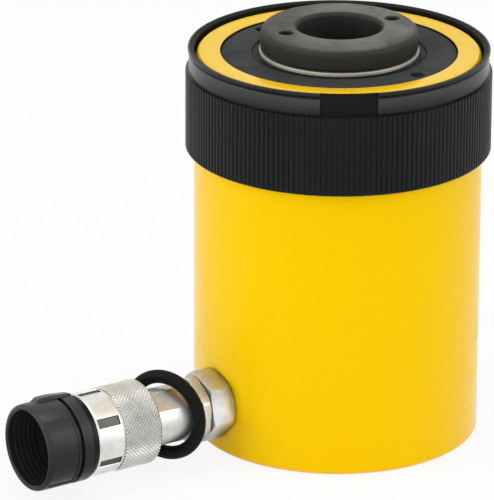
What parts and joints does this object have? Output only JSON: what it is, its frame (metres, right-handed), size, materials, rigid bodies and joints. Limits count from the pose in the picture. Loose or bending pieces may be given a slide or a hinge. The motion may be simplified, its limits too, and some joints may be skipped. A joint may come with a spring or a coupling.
{
  "type": "hollow plunger hydraulic cylinder",
  "caption": "Spring-return hydraulic cylinder with a hollow plunger, a load saddle, a collar thread protector and a screw-together coupler with a dust cap.",
  "frame": {"origin": "centre of the base's bottom face, on the axis of the centre hole", "axes": "+Z is the way the plunger comes out, and the oil port and its coupler point along -X"},
  "size_m": [0.2067, 0.1214, 0.1683],
  "materials": {
    "yellow_paint": "glossy enamel",
    "black_moulding": "moulded, slightly shiny",
    "bare_steel": "turned",
    "rod_steel": "ground",
    "saddle_steel": "black oxide",
    "gland_steel": "black oxide",
    "zinc_steel": "bright zinc",
    "spring_steel": "oiled",
    "bronze": "turned",
    "black_rubber": "smooth",
    "white_plastic": "smooth"
  },
  "bodies": {
    "body": {"cylinder_body": "yellow_paint", "center_tube": "bare_steel", "tube_seal": "black_rubber", "gland_nut": "gland_steel", "rod_wiper": "black_rubber", "gland_bush": "bronze", "return_spring": "spring_steel", "port_adapter": "zinc_steel", "coupler_washer": "gland_steel", "coupler_body": "zinc_steel", "nose_seal": "black_rubber", "sleeve_retaining_ring": "spring_steel", "valve_guide": "bare_steel", "valve_spring": "spring_steel"},
    "plunger": {"plunger": "rod_steel", "piston_outer_cup": "black_rubber", "piston_outer_backup": "white_plastic", "piston_outer_wear_ring": "bronze", "piston_inner_cup": "black_rubber", "piston_inner_backup": "white_plastic", "piston_inner_wear_ring": "bronze"},
    "saddle": {"saddle": "saddle_steel"},
    "thread_protector": {"thread_protector": "black_moulding"},
    "sleeve": {"coupler_sleeve": "zinc_steel"},
    "valve": {"valve_poppet": "bare_steel"},
    "dust_cap": {"dust_cap": "black_moulding"},
    "keeper_ring": {"dust_cap_ring": "black_rubber"}
  },
  "joints": [
    {"name": "plunger_stroke", "type": "slide", "parent": "body", "child": "plunger", "axis": [0, 0, 1], "range_m": [0, 0.064], "stiffness_N_per_m": 6000, "springref_m": -0.03, "deforming": ["return_spring"]},
    {"name": "saddle_unscrew", "type": "slide", "parent": "plunger", "child": "saddle", "axis": [0, 0, 1], "range_m": [0, 0.015]},
    {"name": "protector_lift", "type": "slide", "parent": "body", "child": "thread_protector", "axis": [0, 0, 1], "range_m": [0, 0.045]},
    {"name": "sleeve_turn", "type": "hinge", "parent": "body", "child": "sleeve", "pos_m": [-0.1, 0, 0.021], "axis": [-1, 0, 0], "continuous": true},
    {"name": "valve_push", "type": "slide", "parent": "body", "child": "valve", "axis": [1, 0, 0], "range_m": [0, 0.004], "stiffness_N_per_m": 1500, "springref_m": -0.004, "deforming": ["valve_spring"]},
    {"name": "cap_pull", "type": "slide", "parent": "sleeve", "child": "dust_cap", "axis": [-1, 0, 0], "range_m": [0, 0.018]},
    {"name": "keeper_turn", "type": "hinge", "parent": "body", "child": "keeper_ring", "pos_m": [-0.082, 0, 0.021], "axis": [-1, 0, 0], "continuous": true}
  ]
}
